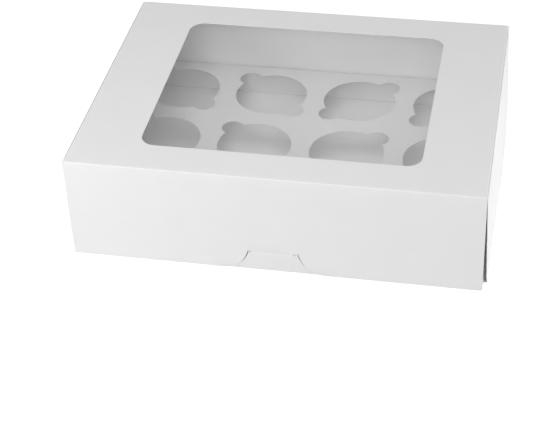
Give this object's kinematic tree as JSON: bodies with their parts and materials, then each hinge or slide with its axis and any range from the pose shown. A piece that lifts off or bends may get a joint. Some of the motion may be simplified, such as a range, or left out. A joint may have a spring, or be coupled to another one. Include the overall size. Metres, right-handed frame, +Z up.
{
  "type": "cupcake box",
  "caption": "White board box with a hinged window lid, a front flap with a lock tongue and a cup insert, for carrying cupcakes.",
  "frame": {"origin": "on the floor, under the middle of the closed box's overall outline", "axes": "+X along the lid's hinge, to the right seen from the front; +Y from the front flap to the hinge; +Z up"},
  "size_m": [0.3448, 0.2566, 0.0889],
  "materials": {
    "white_board": "smooth coated white board, satin",
    "insert_board": "smooth white board, matt",
    "clear_film": "clear thin film, glossy"
  },
  "bodies": {
    "base": {"base": "white_board", "cupcake_insert": "insert_board"},
    "lid": {"lid": "white_board", "window_film": "clear_film"},
    "front_flap": {"front_flap": "white_board"}
  },
  "joints": [
    {"name": "lid_hinge", "type": "hinge", "parent": "base", "child": "lid", "pos_m": [0, 0.12848, 0.08785], "axis": [-1, 0, 0], "range_deg": [0, 180]},
    {"name": "front_flap_hinge", "type": "hinge", "parent": "lid", "child": "front_flap", "pos_m": [0, -0.12567, 0.0889], "axis": [-1, 0, 0], "range_deg": [0, 150]}
  ]
}
